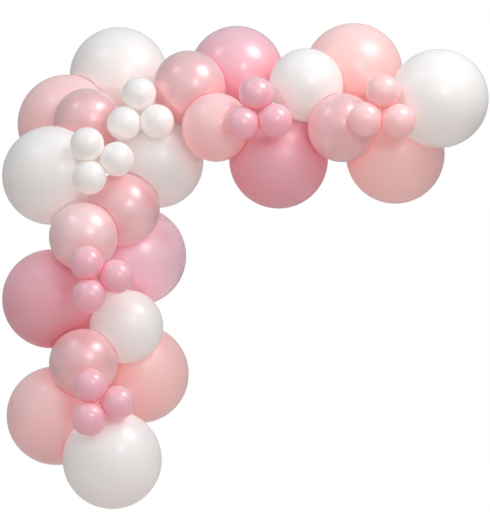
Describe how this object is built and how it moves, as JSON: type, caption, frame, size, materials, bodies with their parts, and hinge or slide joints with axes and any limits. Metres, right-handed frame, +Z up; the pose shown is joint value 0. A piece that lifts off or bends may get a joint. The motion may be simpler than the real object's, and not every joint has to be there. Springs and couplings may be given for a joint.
{
  "type": "balloon garland",
  "caption": "Corner garland of blown latex balloons: a column and a top arm of large and medium balloons with trios of small ones, made to hang on a wall or backdrop.",
  "frame": {"origin": "the tie of the corner, where the necks of the corner balloons come together inside the garland", "axes": "+X along the arm to its free end, +Z up, -Y out of the garland's front, +Y towards the wall or backdrop behind it"},
  "size_m": [1.699, 0.9357, 1.6983],
  "materials": {
    "white_latex": "satin white latex",
    "pearl_white_latex": "white latex with a soft pearl shine",
    "pearl_pink_latex": "pink pearl latex",
    "light_pearl_latex": "light pink pearl latex",
    "pearl_rose_latex": "rose pearl latex",
    "blush_latex": "matt blush pink latex",
    "peach_latex": "matt peach pink latex",
    "rose_latex": "matt rose latex",
    "deep_rose_latex": "matt deep rose latex"
  },
  "bodies": {
    "root": {"corner_inner_white_balloon": "pearl_white_latex", "column_first_pearl_pink_balloon": "pearl_pink_latex", "column_pearl_rose_balloon": "pearl_rose_latex", "column_light_pearl_balloon": "light_pearl_latex", "column_deep_rose_balloon": "deep_rose_latex", "shoulder_white_balloon": "white_latex", "corner_pearl_pink_balloon": "pearl_pink_latex", "corner_blush_balloon": "blush_latex", "corner_top_white_balloon": "white_latex", "arm_first_pearl_pink_balloon": "pearl_pink_latex", "arm_rose_balloon": "rose_latex", "arm_blush_peach_balloon": "blush_latex", "arm_deep_rose_balloon": "deep_rose_latex", "arm_white_balloon": "white_latex", "arm_second_pearl_pink_balloon": "pearl_pink_latex", "arm_blush_balloon": "peach_latex", "arm_end_peach_balloon": "peach_latex", "arm_end_white_balloon": "white_latex", "column_white_balloon": "white_latex", "column_second_pearl_pink_balloon": "pearl_pink_latex", "foot_peach_balloon": "peach_latex", "foot_blush_balloon": "blush_latex", "foot_white_balloon": "white_latex", "corner_white_trio_1": "white_latex", "corner_white_trio_2": "white_latex", "corner_white_trio_3": "white_latex", "shoulder_white_trio_1": "white_latex", "shoulder_white_trio_2": "white_latex", "shoulder_white_trio_3": "white_latex", "arm_rose_trio_1": "rose_latex", "arm_rose_trio_2": "rose_latex", "arm_rose_trio_3": "rose_latex", "arm_end_blush_trio_1": "blush_latex", "arm_end_blush_trio_2": "blush_latex", "arm_end_blush_trio_3": "blush_latex", "column_pink_trio_1": "rose_latex", "column_pink_trio_2": "rose_latex", "column_pink_trio_3": "rose_latex", "foot_pink_trio_1": "rose_latex", "foot_pink_trio_2": "rose_latex", "foot_pink_trio_3": "rose_latex"}
  },
  "joints": []
}
